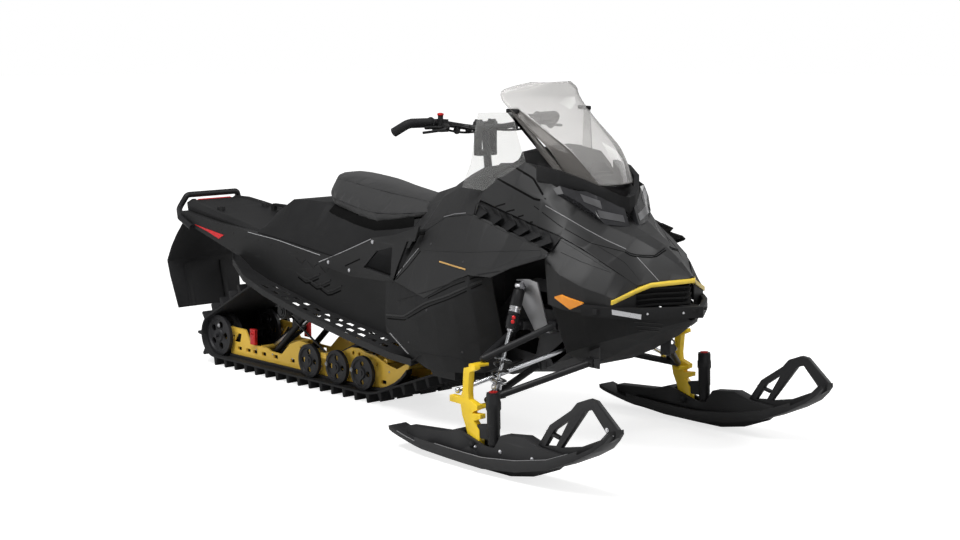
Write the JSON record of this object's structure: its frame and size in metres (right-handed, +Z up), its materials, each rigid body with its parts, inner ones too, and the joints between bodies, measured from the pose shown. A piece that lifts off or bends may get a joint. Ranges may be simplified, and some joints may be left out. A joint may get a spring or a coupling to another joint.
{
  "type": "snowmobile",
  "caption": "Touring snowmobile with steered front skis, a rubber track under a tunnel, an angular hood and nose, a tall tinted screen, and a low seat with a rear deck.",
  "frame": {"origin": "on the snow under the middle of the overall length, on the centre plane", "axes": "+X forward, +Y to the rider's left, +Z up"},
  "size_m": [3.128, 1.218, 1.29],
  "materials": {
    "belt_rubber": "matte moulded rubber",
    "grip_rubber": "soft ribbed rubber",
    "wheel_plastic": "moulded nylon",
    "shoe_plastic": "smooth low-friction plastic",
    "rail_yellow": "satin paint",
    "spindle_yellow": "satin paint",
    "trim_yellow": "gloss",
    "axle_steel": "machined",
    "tube_black": "powder coat",
    "shock_steel": "machined",
    "spring_black": "satin",
    "tunnel_black": "satin paint",
    "frame_grey": "satin paint",
    "tower_aluminium": "cast",
    "moulded_black": "fine grain",
    "panel_grey": "satin",
    "seat_vinyl": "grained vinyl",
    "screen_smoke": "clear tinted",
    "screen_clear": "clear",
    "lamp_glass": "clear",
    "lamp_red": "clear coloured",
    "lamp_orange": "clear coloured",
    "engine_iron": "as cast",
    "ski_plastic": "moulded"
  },
  "bodies": {
    "chassis": {"belly_pan": "moulded_black", "console": "panel_grey", "drive_axle": "axle_steel", "engine": "engine_iron", "front_arms": "tube_black", "front_bumper": "moulded_black", "front_frame": "frame_grey", "front_shocks": "shock_steel", "front_springs": "spring_black", "grille": "moulded_black", "headlamps": "lamp_glass", "hood": "panel_grey", "instrument_hood": "moulded_black", "nose_bar": "trim_yellow", "nose_sides": "panel_grey", "rail_wheels": "wheel_plastic", "rear_axle_idlers": "wheel_plastic", "rear_bumper": "tube_black", "rear_deck": "moulded_black", "rear_shocks": "shock_steel", "running_boards": "tunnel_black", "seat": "seat_vinyl", "seat_base": "moulded_black", "shock_towers": "tower_aluminium", "side_braces": "tunnel_black", "side_markers": "lamp_orange", "side_panels": "panel_grey", "side_pods": "moulded_black", "slide_rails": "rail_yellow", "slide_shoes": "shoe_plastic", "snow_flap": "belt_rubber", "steering_mount": "frame_grey", "swing_arms": "tube_black", "tail_lamp": "lamp_red", "torsion_springs": "spring_black", "track": "belt_rubber", "tunnel": "tunnel_black", "upper_wheels": "wheel_plastic", "vents": "moulded_black", "visor": "moulded_black", "wind_deflectors": "screen_clear", "windshield": "screen_smoke", "windshield_frame": "moulded_black"},
    "steering": {"handlebar": "tube_black", "grips": "grip_rubber", "controls": "moulded_black"},
    "ski_right": {"ski_right": "ski_plastic", "ski_handle_right": "ski_plastic", "spindle_right": "spindle_yellow", "adjuster_right": "tube_black"},
    "ski_left": {"ski_left": "ski_plastic", "ski_handle_left": "ski_plastic", "spindle_left": "spindle_yellow", "adjuster_left": "tube_black"},
    "tie_rods": {"tie_rods": "shock_steel"}
  },
  "joints": [
    {"name": "bar_turn", "type": "hinge", "parent": "chassis", "child": "steering", "pos_m": [0.368, 0, 0.963], "axis": [-0.1189, 0, 0.9929], "range_deg": [-28, 28]},
    {"name": "ski_right_turn", "type": "hinge", "parent": "chassis", "child": "ski_right", "pos_m": [0.896, -0.488, 0.222], "axis": [-0.1552, 0, 0.9879], "range_deg": [-26, 26]},
    {"name": "ski_left_turn", "type": "hinge", "parent": "chassis", "child": "ski_left", "pos_m": [0.896, 0.488, 0.222], "axis": [-0.1552, 0, 0.9879], "range_deg": [-26, 26]},
    {"name": "link_slide", "type": "slide", "parent": "chassis", "child": "tie_rods", "axis": [0, 1, 0], "range_m": [-0.05, 0.05]}
  ],
  "couplings": [
    {"joint": "ski_right_turn", "follows": "bar_turn", "ratio": 0.9},
    {"joint": "ski_left_turn", "follows": "bar_turn", "ratio": 0.9},
    {"joint": "link_slide", "follows": "bar_turn", "m_per_rad": -0.0969}
  ]
}
